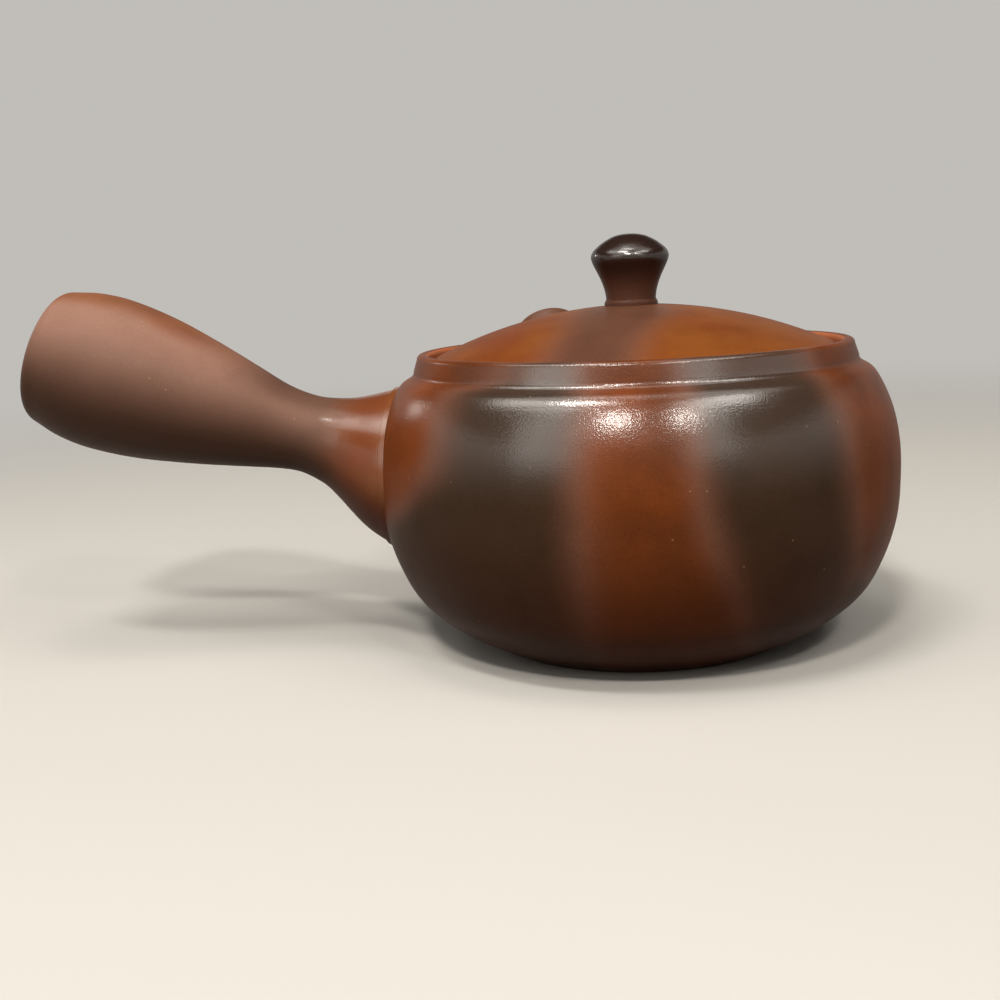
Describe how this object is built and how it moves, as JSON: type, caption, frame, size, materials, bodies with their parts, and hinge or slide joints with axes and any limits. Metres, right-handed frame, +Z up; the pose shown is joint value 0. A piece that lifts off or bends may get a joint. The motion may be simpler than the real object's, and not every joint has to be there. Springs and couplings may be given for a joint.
{
  "type": "side-handled teapot",
  "caption": "Round unglazed clay teapot with a hollow side handle, a short spout over a pierced strainer and a knobbed lid that lifts off a ledge inside its collar.",
  "frame": {"origin": "centre of the flat base, on the axis that the pot is turned about", "axes": "+Z up along the pot's axis; the handle points along -X; the spout points towards +Y, leaning 17 degrees towards the handle"},
  "size_m": [0.1675, 0.1194, 0.0769],
  "materials": {
    "body": "satin, unglazed red clay with dark smoke patches",
    "handle": "matte, unglazed brown clay",
    "handle_joint": "satin, unglazed red clay",
    "spout": "satin, unglazed red clay",
    "spout_joint": "satin, unglazed red clay",
    "strainer": "matte, unglazed red clay",
    "lid": "satin, unglazed orange clay",
    "knob": "satin, smoke-darkened clay",
    "knob_joint": "satin, unglazed clay"
  },
  "bodies": {
    "pot": {"body": "body", "handle": "handle", "handle_joint": "handle_joint", "spout": "spout", "spout_joint": "spout_joint", "strainer": "strainer"},
    "lid": {"lid": "lid", "knob": "knob", "knob_joint": "knob_joint"}
  },
  "joints": [
    {"name": "lid_lift", "type": "slide", "parent": "pot", "child": "lid", "axis": [0, 0, 1], "range_m": [0, 0.05]}
  ]
}
